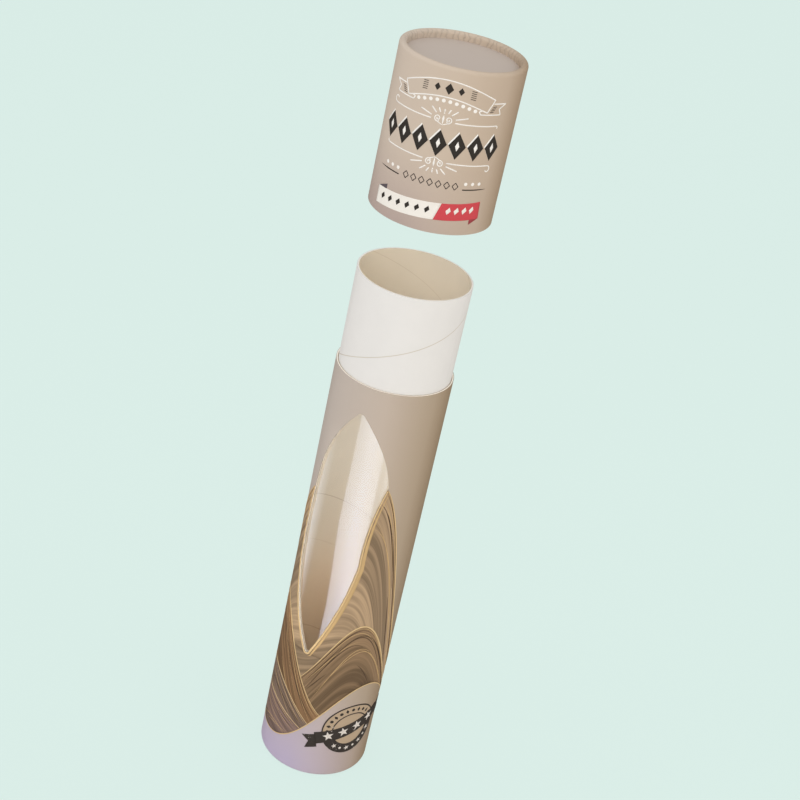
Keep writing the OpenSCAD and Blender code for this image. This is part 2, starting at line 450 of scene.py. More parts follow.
def laminated_print(name, tints, fade, crimp_from=None):
    """Printed art paper under a satin film laminate: the eye sees a soft sheen
    with a faint thin coat over it. The four tints are left, middle, right and
    low: the colour drifts from left over middle to right, as seen from the
    camera, a little deeper still at the far right, which is painted light at the
    left and painted shade at the right; between the two heights of fade, in mm,
    it goes to low, most at the left, a painted lilac light at the tube's foot and
    painted shade at the lid's open end. Above crimp_from, in mm, the paper is
    rolled inwards and shows the small pleats that rolling leaves, bumped and
    darkened in their folds with painted shade."""
    left, middle, right, low = tints
    material, tree, shader = new_material(name, 0.42)
    place, _, relief = laminate(tree, shader, 0.02)
    x, y, z = add(tree, "SeparateXYZ", place).outputs
    way = math.radians(VIEW_TURN)
    size = 0.5 / (RADIUS * MM)
    rightwards = (math.cos(way) * size, math.sin(way) * size, 0.0)
    # share goes from 0 at the left to 1 at the right as seen from the camera; the ramp on it
    # paints light at the left and shade at the right
    share = add(tree, PLUS_HELD, add(tree, DOT, place, rightwards), 0.5)
    # the far right edge gets the right tint darkened further: painted shade
    end = rgba([c * k for c, k in zip(right, (0.78, 0.72, 0.64))])
    stops = [(0.0, rgba(left)), (0.5, rgba(middle)), (0.88, rgba(right)), (1.0, end)]
    print_with_painted_light_and_shade = add(tree, ("ValToRGB", {"stops": stops}), share)
    # painted light at the foot: between the heights of fade the colour goes to the low tint, most
    # at the left as seen from the camera
    foot = add(tree, "MapRange", z, fade[0] * MM, fade[1] * MM)
    leftness = add(tree, "MapRange", share, 1.0, 0.3)
    foot_painted_light_share = add(tree, TIMES, foot, leftness)
    foot_painted_light_tint = add(tree, BLEND, foot_painted_light_share, i6=print_with_painted_light_and_shade, i7=rgba(low))
    base = mottled(tree, shader, place, foot_painted_light_tint, 25, 0.012)
    if crimp_from is not None:
        # 60 narrow ridges that wander a little, on the inner side of the roll, bumped and darkened
        # in their folds with painted shade
        turn = add(tree, BEARING, y, x)
        wander = add(tree, "TexNoise", Vector=place, Scale=1 / (5 * MM), Detail=2.0)
        swung = add(tree, PLUS, turn, add(tree, TIMES, wander, 0.22))
        pleat = add(tree, SIZE, add(tree, SINE, add(tree, TIMES, swung, 30.0)))
        sharp = add(tree, POWER, pleat, 9.0)
        edges = (RADIUS - 1.6) * MM, (RADIUS - 3.0) * MM
        inner = add(tree, "MapRange", from_axis(tree, x, y), *edges)
        high = add(tree, ABOVE, z, crimp_from * MM)
        masked = add(tree, TIMES, add(tree, TIMES, sharp, inner), high)
        depth, strength = 0.3, 0.6
        # painted shade in the pleats' folds: the colour goes towards half the left tint
        shade = add(tree, TIMES, masked, 0.28)
        base = add(tree, BLEND, shade, i6=base, i7=rgba(left, 0.5))
        join(tree, shader, Base_Color=base)
    else:
        # the overlap where the wrap's two ends meet runs up the back, at +Y
        behind = add(tree, ABOVE, y, 0.0)
        near = add(tree, MINUS_HELD, 1.0, add(tree, OVER, add(tree, SIZE, x), 0.3 * MM))
        masked = add(tree, TIMES, near, behind)
        depth, strength = 0.15, 0.7
    dent = {"Height": masked, "Strength": strength, "Distance": depth * MM, "Normal": relief}
    join(tree, shader, Normal=add(tree, DENT, **dent))
    return material


def cut_board(name, tint, ply_mm, tan_gap_shade_within=0.0):
    """Spiral-wound board seen at its cut edge: soft, dull, with the paper plies
    as fine rings at their real thickness. The plies nearer the axis than
    tan_gap_shade_within, in mm, are tan: an inner kraft ply, and painted shade of the
    gap just inside the cut edge."""
    material, tree, shader = new_material(name, 0.85)
    place, grain, _ = paper_grain(tree, shader, 0.3, 0.05, 0.78, 0.92)
    x, y, _ = add(tree, "SeparateXYZ", place).outputs
    reach = from_axis(tree, x, y)
    near = add(tree, FOLD, add(tree, OVER, reach, ply_mm * MM), 0.5)
    ply = add(tree, "MapRange", Value=near, From_Max=0.14, To_Min=0.2, To_Max=0.0)
    shade = add(tree, PLUS_HELD, ply, add(tree, TIMES, grain, 0.12))
    mix = add(tree, BLEND, shade, i6=rgba(tint), i7=rgba(tint, 0.62))
    # painted shade: the innermost plies turn tan, for a kraft ply and for the dark gap just inside
    # the cut edge
    deep = add(tree, BELOW, reach, tan_gap_shade_within * MM)
    plies = add(tree, BLEND, deep, i6=mix, i7=rgba(linear("#B49E80")))
    join(tree, shader, Base_Color=plies)
    return material


def recycled_board(name, tint):
    """Greyboard of recycled paper: dull, with pale and dark flecks."""
    material, tree, shader = new_material(name, 0.9)
    place = paper_grain(tree, shader, 0.4, 0.06, 0.85, 0.95)[0]
    fleck = add(tree, "TexVoronoi", Vector=place, Scale=1 / (1.4 * MM))
    mix = add(tree, BLEND, fleck, i6=rgba(tint, 0.8), i7=rgba(tint, 1.2))
    join(tree, shader, Base_Color=mix)
    return material


def clear_film(name, tint, roughness):
    """Clear acetate film: glass-clear with the mirror gloss of its surface.
    Lamps shine straight through it, so what lies behind stays lit."""
    material, tree, shader = new_material(name, roughness, 1.48)
    join(tree, shader, Base_Color=rgba(tint), Transmission_Weight=1.0)
    lamp_ray = add(tree, "LightPath").outputs["Is Shadow Ray"]
    through = add(tree, "BsdfTransparent", rgba(tint))
    mix = add(tree, "MixShader", lamp_ray, shader, through)
    join(tree, tree.nodes["Material Output"], mix)
    return material


def flat_ink(name, tint, worn=0.0, paper=None):
    """Offset ink under the same satin laminate as the paper round it. worn
    lets specks of the paper show, as on a rubber-stamped mark."""
    material, tree, shader = new_material(name, 0.4)
    place = laminate(tree, shader, 0.015)[0]
    mix = mottled(tree, shader, place, tint, 6, 0.03)
    if worn:
        speck = {"Scale": 1 / (1.1 * MM), "Detail": 5.0, "Roughness": 0.75}
        fine = add(tree, "TexNoise", Vector=place, **speck)
        wide = add(tree, "TexNoise", Vector=place, Scale=1 / (9 * MM), Detail=2.0)
        both = add(tree, PLUS, fine, add(tree, TIMES, wide, 0.5))
        gap = add(tree, "MapRange", both, 1.02 - worn * 0.1, 1.07 - worn * 0.1)
        join(tree, shader, Base_Color=add(tree, BLEND, gap, i6=mix, i7=rgba(paper)))
    return material


def dune_ink(name, tint):
    """Printed dune: lightest under its crest, deeper below, with long streaks
    along the crest. The UV map has the way round, and the depth in shares."""
    material, tree, shader = new_material(name, 0.4)
    laminate(tree, shader, 0.015)
    print_map = add(tree, ("UVMap", {"uv_map": "print"}))
    under = add(tree, "SeparateXYZ", print_map).outputs["Y"]
    stretch = add(tree, "Mapping", Vector=print_map, Scale=(1.3, 13.0, 1.0))
    streak = add(tree, "TexNoise", Vector=stretch, Scale=1.0, Detail=3.0, Roughness=0.5)
    swing = add(tree, "MapRange", streak, 0.32, 0.68, -0.4, 0.4)
    folded = add(tree, FOLD, add(tree, PLUS, under, swing), 0.62)
    light = rgba([min(1.0, c * 1.35) for c in tint])
    stops = [(0.0, light), (0.26, rgba(tint)), (0.62, rgba(tint, 0.58))]
    join(tree, shader, Base_Color=add(tree, ("ValToRGB", {"stops": stops}), folded))
    return material


def dress(node, material):
    """Gives a CAD node its material."""
    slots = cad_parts[node].data.materials
    slots.clear()
    slots.append(material)


# The dunes: each crest is a height plus cosines of whole turns round the tube,
# each with its size in mm and the angle of its peak. The first is the furthest.

FAR = (127.9, (1, 81.0, -0.05), (2, 9.8, 0.87), (3, 10.0, 2.63), (4, 3.1, -2.95), (5, 1.1, -1.81))
RIGHT = (56.0, (1, 33.9, 0.77), (2, 14.7, 1.67), (3, 5.8, 2.75), (4, 2.2, -2.53))
LEFT = (58.8, (1, 36.5, -1.14), (2, 13.3, -2.12), (3, 3.4, 3.12), (4, 0.6, -2.98))
MID = (38.0, (1, 18.5, -1.23), (2, 6.1, -1.45), (3, 1.0, -2.38))
NEAR = (28.0, (1, 11.2, -0.99), (2, 3.2, -1.49), (3, 0.7, -2.67))
HEM = (32.0, (1, 22.6, 1.29), (2, 10.6, 2.46), (3, 2.7, -2.81), (4, 0.6, 2.14))

# The window's cut edge, as shares of its half width and of its height, from
# the crown down the left side to the tip and up the right side.
WINDOW_HALF, WINDOW_LOW, WINDOW_HIGH = 21.9, 86.0, 248.0
WINDOW = (
    (-0.045, 0.994), (-0.51, 0.895), (-0.915, 0.70), (-0.985, 0.56),
    (-0.985, 0.42), (-0.76, 0.205), (-0.165, 0.006), (-0.105, 0.00),
    (-0.045, 0.009), (0.46, 0.205), (0.745, 0.41), (0.795, 0.585),
    (1.00, 0.748), (0.66, 0.897), (0.155, 0.994), (0.055, 1.00),
)


def window_edge():
    """Points (s, z) on the arcs of the cut edge, each arc through three of the
    window's points, and how many of them lie before the tip."""
    high = WINDOW_HIGH - WINDOW_LOW
    points = [complex(x * WINDOW_HALF, WINDOW_LOW + z * high) for x, z in WINDOW]
    made = []
    for k in range(0, len(points), 2):
        a, b, c = points[k], points[k + 1], points[(k + 2) % len(points)]
        w = (c - a) / (b - a)
        middle = (b - a) * (w - abs(w) ** 2) / (w - w.conjugate()) + a
        swing = np.angle((c - middle) / (a - middle))
        made.append(middle + (a - middle) * np.exp(1j * swing * spread(0, 1, 9)[:-1]))
    edge = np.concatenate(made)
    s = RADIUS * np.arcsin(edge.real / RADIUS)
    return np.stack([s, edge.imag], -1), int(np.argmin(edge.imag))


def window_sides(z):
    """The cut edge's s on the left and on the right at the heights z."""
    edge, tip = window_edge()
    # the last arc is the crown; the right side ends where it starts
    left, right = edge[: tip + 1][::-1], edge[tip:-7]
    return np.interp(z, left[:, 1], left[:, 0]), np.interp(z, right[:, 1], right[:, 0])


def crest(shape, s):
    """Height in mm of a crest line at the distance s round the tube."""
    height = np.full_like(s, float(shape[0]))
    for times, size, peak in shape[1:]:
        height += size * np.cos(times * s / RADIUS - peak)
    return height


def dune_band(shape, layer, high=None):
    """All round the tube from the hem up to the crest, or to high where that
    is given, a column a degree. The UV depth is the distance under the crest in
    shares of 70 mm."""
    s = (spread(0, 1, 361)[:-1] - 0.5) * FULL_TURN
    hem, top = crest(HEM, s), crest(shape, s)
    end = np.maximum(top if high is None else np.minimum(top, high), hem + 0.2)
    share = spread(0, 1, 9)[None, :]
    z = hem[:, None] + (end - hem)[:, None] * share
    across = np.repeat(s[:, None], 9, 1)
    return skin(across, z, layer, 0.0, True, (across / 100, (top[:, None] - z) / 70))


def dune_flank(shape, layer, side, far):
    """The part of a dune beside the window and above its tip. The columns run
    from the cut edge out to far, and each goes from the tip's height up to the
    crest; rows and columns are settled together by going round the two rules."""
    u, v = spread(0, 1, 70)[:, None], spread(0, 1, 60)[None, :]
    low = WINDOW_LOW - 0.5
    s = u * far + 0 * v
    for _ in range(60):
        z = low + v * (np.maximum(crest(shape, s), low + 0.02) - low)
        s = 0.5 * s + 0.5 * (u * far + (1 - u) * window_sides(z)[side])
    return skin(s, z, layer, 0.0, False, (s / 100, (crest(shape, s) - z) / 70))


def window_line(shape, width, layer, gap=0.05, ends=(0.5, 0.5), right_only=False):
    """A line of ink round the lower part of the window, between the two places
    where the crest of a dune meets the cut edge, or up its right side alone."""
    edge, tip = window_edge()
    last, count = len(edge) - 1, 400
    steps = spread(0, last, count)
    fine = np.stack([np.interp(steps, range(last + 1), edge[:, k]) for k in (0, 1)], -1)
    way = np.gradient(fine, axis=0)
    way /= np.linalg.norm(way, axis=1, keepdims=True)
    moved = fine + np.stack([way[:, 1], -way[:, 0]], -1) * (width / 2 + gap)
    below = moved[:, 1] < crest(shape, moved[:, 0])
    if right_only:
        below[: count * tip // last + 6] = False
    return [stroke(moved[a:b], width, layer, 0.0, ends) for a, b in runs(below, 8)]


def hidden_by(shapes, s, z):
    """True where a nearer dune covers the point, in the window or under the hem."""
    left, right = window_sides(z)
    cover = (s > left - 0.6) & (s < right + 0.6) & (z > WINDOW_LOW - 0.6) & (z < WINDOW_HIGH)
    cover |= z < crest(HEM, s) + 0.6
    for shape in shapes:
        cover |= crest(shape, s) > z - 0.4
    return cover


def runs(keep, shortest):
    """Start and end of each run of True in keep that is long enough."""
    edges = np.flatnonzero(np.diff(np.concatenate([[0], keep.astype(int), [0]])))
    return [(a, b) for a, b in zip(edges[::2], edges[1::2]) if b - a >= shortest]


def crest_line(shape, nearer, width, layer):
    """The crest of a dune as a line of ink, broken where nearer dunes cover it."""
    s = (spread(0, 1, 721) - 0.5) * FULL_TURN
    z = crest(shape, s)
    open_part = ~hidden_by(nearer, s, z) if nearer is not None else np.ones(len(s), bool)
    made = []
    for a, b in runs(open_part, 8):
        ends = (1, 1) if b - a == len(s) else (0.35, 0.35)
        made.append(stroke(np.stack([s[a:b], z[a:b]], -1), width, layer, 0.0, ends))
    return made


def ripple_lines(shape, nearer, count, seed, width):
    """Fine lines that leave the crest and part from it as they fall: line k
    lies 1.5 k + 0.42 k * k mm under the crest, times 0.6 to 1.4 as it swings
    twice round the tube, and is left out where a faster wave is low."""
    s = (spread(0, 1, 721) - 0.5) * FULL_TURN
    made = []
    for k in range(1, count + 1):
        drop = 1.5 * k + 0.42 * k * k
        z = crest(shape, s) - drop * (1 + 0.4 * np.cos(2 * s / RADIUS + k + seed))
        keep = ~hidden_by(nearer, s, z)
        keep &= np.cos(3 * s / RADIUS + 1.7 * k + seed) > -0.72
        for a, b in runs(keep, 30):
            made.append(stroke(np.stack([s[a:b], z[a:b]], -1), width, 5, 0.0, (0.08, 0.08)))
    return made


# Operators, one for each piece or group of like pieces


class GIFTTUBE_OT_papers(bpy.types.Operator):
    """Give the tube, neck, lid and discs their papers and boards"""

    bl_idname = "gifttube.papers"
    bl_label = "Papers and Boards"

    def execute(self, context):
        paper = context.scene.gift_tube.paper
        # tints: painted light at the left, painted shade at the right, and a painted lilac light
        # at the foot
        tints = paper.tube_wrap, paper.tube_middle, paper.tube_right_painted_shade, paper.tube_foot_painted_lilac_light
        dress("tube_wrap", laminated_print("Satin laminated print paper", tints, (70, 5)))
        # the lid's tints: painted light at the left, painted shade at the right, and painted shade
        # at its open end
        tints = paper.lid_wrap, paper.lid_middle, paper.lid_right_painted_shade, paper.lid_foot_painted_shade
        fade = (LID_FOOT + 40, LID_FOOT)
        wrap = laminated_print("Satin laminated lid paper", tints, fade, LID_TOP - RIM)
        dress("lid_wrap", wrap)
        for node in ("lid_top_paper", "base_paper"):
            tints = [paper.disc_paper] * 4
            # nothing reaches 1000 mm, so a disc has neither pleats nor an overlap
            dress(node, laminated_print("Laminated disc paper " + node, tints, (1, 0), 1000.0))
        # the tan inner plies are a kraft ply and painted shade of the gap just inside the cut edge
        for node, name, tint, ply_mm, tan_gap_shade_within in (
            ("tube_board", "Spiral-wound board of the tube", paper.board, 0.3, 31.58),
            ("lid_board", "Spiral-wound board of the lid", paper.board, 0.28, 31.8),
            ("neck_board", "Inner spiral-wound board", paper.inner_board, 0.35, 0.0),
        ):
            dress(node, cut_board(name, tint, ply_mm, tan_gap_shade_within))
        for node in ("lid_top_board", "base_board"):
            dress(node, recycled_board("Recycled greyboard " + node, paper.greyboard))
        pitch = paper.seam_pitch
        starts = [(self.seam_start(287.4, -0.7, pitch), 0.7)]
        tints = paper.neck_paper, linear("#B9A98C")
        dress("neck_paper", seamed_paper("White kraft paper", *tints, pitch, starts, 0.62))
        pitch = paper.lining_pitch
        low, high = self.seam_start(67.9, -135.4, pitch), self.seam_start(306.5, 180, pitch)
        tints = paper.lining, linear("#A8926F")
        starts = [(low, 0.6), (high, 0.3)]
        lining = seamed_paper("Beige lining paper", *tints, pitch, starts, 0.7)
        for node in ("neck_lining", "base_lining", "lid_lining", "lid_top_lining"):
            dress(node, lining)
        return {"FINISHED"}

    @staticmethod
    def seam_start(height, degrees, pitch):
        """Height in mm of the seam at angle 0 when it passes a height at an angle
        counted from the camera's side."""
        return height - pitch * (degrees + VIEW_TURN - 90) / 360


class GIFTTUBE_OT_film(bpy.types.Operator):
    """Make the window film clear and glossy"""

    bl_idname = "gifttube.film"
    bl_label = "Window Film"

    def execute(self, context):
        film = context.scene.gift_tube.film
        dress("window_film", clear_film("Clear acetate film", film.tint, film.roughness))
        return {"FINISHED"}


class GIFTTUBE_OT_dunes(bpy.types.Operator):
    """Print the layered dunes round the lower tube"""

    bl_idname = "gifttube.dunes"
    bl_label = "Dunes"

    def execute(self, context):
        dune = context.scene.gift_tube.dune
        order = [("far", FAR), ("right", RIGHT), ("left", LEFT), ("mid", MID), ("near", NEAR)]
        crests, ripples, shades = [], [], []
        for k, (name, shape) in enumerate(order):
            ink = dune_ink("Printed dune ink " + name, getattr(dune, name))
            if k:
                bands = [dune_band(shape, k)]
            else:
                bands = [dune_band(shape, k, WINDOW_LOW - 0.5)]
                bands += [dune_flank(shape, k, 0, -74), dune_flank(shape, k, 1, 61)]
            put_piece("print_dune_" + name, bands, ink, "tube")
            nearer = [s for _, s in order[k + 1 :]]
            crests += crest_line(shape, nearer, dune.crest_width, 6)
            ripples += ripple_lines(shape, nearer, dune.ripples, k, 0.34)
            shades += ripple_lines(shape, nearer, dune.ripples, k + 2.6, 0.55)
        wide = dune.crest_width * 1.3
        crests += window_line(FAR, wide, 6)
        ripples += window_line(FAR, dune.crest_width * 2.4, 5, wide, (0.1, 0.1), True)
        crests += crest_line(HEM, None, dune.crest_width * 0.7, 6)
        pale = [c * k for c, k in zip(dune.crest, (0.85, 0.79, 0.72))]
        for name, parts, ink, tint in (
            ("crests", crests, "Pale gold ink", dune.crest),
            ("shades", shades, "Dark brown ink", dune.shade),
            ("ripples", ripples, "Soft tan ink", pale),
        ):
            put_piece("print_dune_" + name, parts, flat_ink(ink, tint), "tube")
        return {"FINISHED"}


class GIFTTUBE_OT_seal(bpy.types.Operator):
    """Print the round seal with its blank ribbon"""

    bl_idname = "gifttube.seal"
    bl_label = "Round Seal"

    def execute(self, context):
        seal = context.scene.gift_tube.seal
        s0, z0, r, tilt = seal.along, seal.height, seal.radius, seal.tilt
        cos, sin = math.cos(tilt), math.sin(tilt)

        def place(x, y):
            """The place x mm along the tilted ribbon and y mm above it."""
            return (s0 + x * cos - y * sin, z0 + x * sin + y * cos)

        def on_ring(degrees, share=0.81):
            """The place at a bearing and at a share of the seal's radius."""
            way = math.radians(degrees)
            return place(r * share * math.cos(way), r * share * math.sin(way))

        lower = (180 + math.degrees(tilt), 360 + math.degrees(tilt))
        parts = [
            hoop(s0, z0, r * 0.955, r, 8),
            hoop(s0, z0, r * 0.62, r * 0.665, 8),
            hoop(s0, z0, r * 0.665, r * 0.955, 8, 0.0, lower, 60),
        ]
        for degrees in range(15, 180, 30):
            parts.append(disc(*on_ring(degrees), r * 0.06, 8))
        for degrees in range(30, 180, 30):
            tips = ((0, 0.9), (4.0107, 0.81), (0, 0.72), (-4.0107, 0.81))
            parts.append(patch([on_ring(degrees + turn, share) for turn, share in tips], 8))
        half, height = r * 1.22, r * 0.235
        ribbon = [
            (1, 9, ((-1.0, -1.0), (1.0, -1.0), (1.0, 1.0), (-1.0, 1.0))),
        ]
        for side in (-1, 1):
            ribbon += [
                (side, 8, ((1.0, -1.55), (1.34, -1.55), (1.2, -0.45), (1.0, -0.45))),
                (side, 8, ((1.0, -0.45), (1.2, -0.45), (1.34, 0.65), (1.0, 0.65))),
            ]
        for side, layer, shape in ribbon:
            parts.append(patch([place(side * half * x, height * y) for x, y in shape], layer))
        stars = []
        for x in (-0.78, -0.26, 0.26, 0.78):
            stars += star(*place(x * r, 0), r * 0.19, tilt, 11)
        for degrees in range(-144, -35, 36):
            stars += star(*on_ring(degrees), r * 0.1, tilt, 11)
        for degrees in range(-126, -35, 36):
            stars.append(disc(*on_ring(degrees), r * 0.045, 11))
        ground = [hoop(s0, z0, r * 0.02, r * 0.98, 7)]
        worn = flat_ink("Worn stamp ink", seal.ink, 1.0, context.scene.gift_tube.paper.tube_wrap)
        put_piece("print_seal_ground", ground, flat_ink("Pale ground ink", seal.ground), "tube")
        put_piece("print_seal", parts, worn, "tube")
        put_piece("print_seal_stars", stars, flat_ink("Pale stamp ink", seal.pale), "tube")
        return {"FINISHED"}


class GIFTTUBE_OT_label(bpy.types.Operator):
    """Print the lid's label: ribbon, rays, scrolls, lozenges, rules and flag"""

    bl_idname = "gifttube.label"
    bl_label = "Lid Label"

    turn = math.radians(VIEW_TURN)

    def execute(self, context):
        label = context.scene.gift_tube.label
        w = label.line
        white = self.ribbon(w) + self.dots()
        white += self.flourish(w, 24.6, 1) + self.flourish(w, 49.8, -1)
        dark, shade = self.lozenges(label.lozenges)
        white += shade
        dark += self.hatches() + self.rules()
        put_piece("label_white", white, flat_ink("White label ink", label.white), "lid")
        put_piece("label_dark", dark, flat_ink("Dark label ink", label.dark), "lid")
        self.flag(label)
        return {"FINISHED"}

    # A place on the label is s mm right of its middle and down mm under the
    # lid's top. The shapes below take such places.

    def at(self, s, down):
        """The place on the round wall of a place on the label."""
        return (s - 3.0, LID_TOP - down)

    def along(self, points, width):
        """A line of ink through places on the label."""
        return stroke([self.at(*p) for p in points], width, 1, self.turn)

    def straight(self, a, b, width, taper=(1.0, 1.0)):
        """A straight line of ink from a to b."""
        return line(self.at(*a), self.at(*b), width, 1, self.turn, taper)

    def flat(self, shape, layer, fine=1.2):
        """A patch of ink between four places."""
        return patch([self.at(*p) for p in shape], layer, self.turn, fine)

    def spot(self, s, down, radius):
        """A round spot of ink."""
        return disc(*self.at(s, down), radius, 1, self.turn)

    def lozenge(self, s, down, half, tall, layer, fine=1.2, lean=0.0):
        """A lozenge whose upper tip leans to the right and lower one to the left."""
        upper, lower = (s + lean, down - tall), (s - lean, down + tall)
        return self.flat([upper, (s + half, down), lower, (s - half, down)], layer, fine)

    def arch(self, half, middle, ends, count=48):
        """An arc from -half to half: down = ends - (ends - middle) * cos of the
        way out, so it is highest in the middle."""
        s = spread(-half, half, count)
        return np.stack([s, ends - (ends - middle) * np.cos(s / half * math.pi / 2)], -1)

    def ribbon(self, w):
        """Outline of an arched banner with swallow tails behind its ends."""
        arches = (24.4, 6.5, 13.3), (21.0, 14.9, 19.8)
        made = [self.along(self.arch(*sizes), w) for sizes in arches]
        tail = (
            (24.0, 15.2), (31.6, 15.4), (27.8, 17.9), (29.2, 20.9),
            (17.6, 20.9), (16.6, 19.4), (18.8, 18.8),
        )
        for side in (-1, 1):
            for a, b in (((24.3, 13.2), (21.0, 19.9)), *zip(tail, tail[1:])):
                made.append(self.straight((side * a[0], a[1]), (side * b[0], b[1]), w))
        return made

    def dots(self):
        """Ten dots on an arc under the banner, and three by each rule."""
        s = spread(-14.6, 14.6, 10)
        down = 19.3 - 2.5 * np.cos(s / 14.6 * math.pi / 2)
        made = [self.spot(a, b, 0.95) for a, b in zip(s, down)]
        places = [side * (18.2 + 3.9 * k) for side in (-1, 1) for k in range(3)]
        return made + [self.spot(s, 57.3, 0.9) for s in places]

    def flourish(self, w, down, way):
        """A pair of scrolls and a bud between two long rules, with seven rays
        on the far side. way is 1 for rays above and -1 for rays below."""
        base = down + way * 2.2
        made = []
        for side in (-1, 1):
            made.append(self.straight((side * 6.0, base), (side * 28.5, base), w))
            big = side == -way
            reach, turns, lean = (2.0, 0.68, way) if big else (1.1, 0.3, -way)
            hook = curl(-90, turns, reach, reach * 0.45)
            bent = np.stack([28.5 + hook[:, 0], base - lean * (reach + hook[:, 1])], -1)
            made.append(self.along(bent * [side, 1], w))
            roll = curl(-90, 1.35, 1.75, 0.3, 60)
            lifted = base - way * (roll[:, 1] + 0.9)
            made.append(self.along(np.stack([side * (2.75 + roll[:, 0]), lifted], -1), w * 0.85))
            inner = curl(-90, -0.8, 0.85, 0.3, 30)
            lifted = base - way * (inner[:, 1] * 0.9 + 0.05)
            made.append(self.along(np.stack([side * (2.7 + inner[:, 0]), lifted], -1), w * 0.7))
            ends = (side * 2.7, base + way * 0.85), (0, base + way * 2.1)
            made.append(self.straight(*ends, w * 0.75, (1, 0.4)))
        bud = [(0, 3.1), (0.55, 1.3), (0, -2.3), (-0.55, 1.3)]
        made.append(self.flat([(s, base - way * up) for s, up in bud], 1, 0.4))
        made.append(self.spot(0, base - way * 4.0, 0.34))
        rays = (90, 5.0, 6.6), (66, 4.8, 7.3), (44, 5.3, 9.2), (17, 6.3, 12.6)
        for degrees, start, end in rays:
            for side in (-1, 1) if degrees < 90 else (1,):
                c = side * math.cos(math.radians(degrees))
                q = way * math.sin(math.radians(degrees)) * 0.92
                ends = [(c * far, base - q * far) for far in (start, end)]
                made.append(self.straight(*ends, w * 1.05))
        return made

    def lozenges(self, count):
        """A row of tall lozenges with a pale one behind each, up and left."""
        made, shade = [], []
        wide = 57.2 / max(1, count - 1) * 0.46
        for s in spread(-28.6, 28.6, count):
            made.append(self.lozenge(s, 38.2, wide, 6.8, 3))
            shade.append(self.lozenge(s - 0.49, 37.5, wide, 6.8, 2))
            shade.append(self.lozenge(s, 38.2, wide * 0.24, 2.6, 4, 0.6))
        return made, shade

    def hatches(self):
        """Short rules at both ends of the banner and on its tails, and three
        small lozenges in its middle."""
        made = []
        for side in (-1, 1):
            for k in range(5):
                made.append(self.straight((side * 11.0, 9.6 + k), (side * 13.6, 9.9 + k), 0.32))
            for k in range(4):
                ends = (22.4 + k * 0.5, 19.6 - k * 0.9), (24.6 + k * 0.5, 19.4 - k * 0.9)
                made.append(self.straight(*((side * s, down) for s, down in ends), 0.34))
        for s, half in ((-6.0, 1.5), (0.0, 2.2), (6.0, 1.5)):
            made.append(self.lozenge(s, 10.6 + abs(s) * 0.03, half, half * 1.3, 1, 0.6))
        return made

    def rules(self):
        """Two rules that taper outwards, and a row of small open lozenges."""
        made = []
        for side in (-1, 1):
            made.append(self.straight((side * 17.0, 60.4), (side * 31.0, 60.4), 0.6, (1, 0.15)))
        for s in spread(-12.9, 12.9, 7):
            tips = [(s, 57.0), (s + 1.5, 58.9), (s, 60.8), (s - 1.5, 58.9)]
            for a, b in zip(tips, tips[1:] + tips[:1]):
                made.append(self.straight(a, b, 0.4))
        return made

    def flag(self, label):
        """A slanting two-colour ribbon with folded ends and small marks."""
        cream = [(-29.6, 71.3), (8.2, 68.6), (5.4, 77.8), (-29.4, 80.3)]
        red = [(8.2, 68.6), (29.6, 67.2), (30.4, 76.4), (5.4, 77.8)]
        fold_dark = [(-29.4, 71.2), (-22.9, 68.2), (-22.9, 70.8), (-26.0, 71.1)]
        fold_red = [(30.2, 76.4), (24.9, 79.4), (24.7, 76.7), (27.6, 76.6)]
        pieces = [
            ("label_flag_cream", label.cream, [self.flat(cream, 2)]),
            ("label_flag_red", label.red, [self.flat(red, 2)]),
            ("label_fold_dark", label.fold_dark, [self.flat(fold_dark, 1)]),
            ("label_fold_red", label.fold_red, [self.flat(fold_red, 1)]),
        ]
        for name, tint, low, high, count in (
            ("label_flag_marks_dark", label.dark, -24.5, 1.5, 6),
            ("label_flag_marks_pale", label.cream, 12.2, 24.8, 4),
        ):
            marks = [(s, 74.1 - (s + 13) * 0.072) for s in spread(low, high, count)]
            pieces.append((name, tint, [self.lozenge(*p, 1.35, 2.0, 3, 0.6, 0.5) for p in marks]))
        for name, tint, parts in pieces:
            put_piece(name, parts, flat_ink("Label ink " + name, tint), "lid")


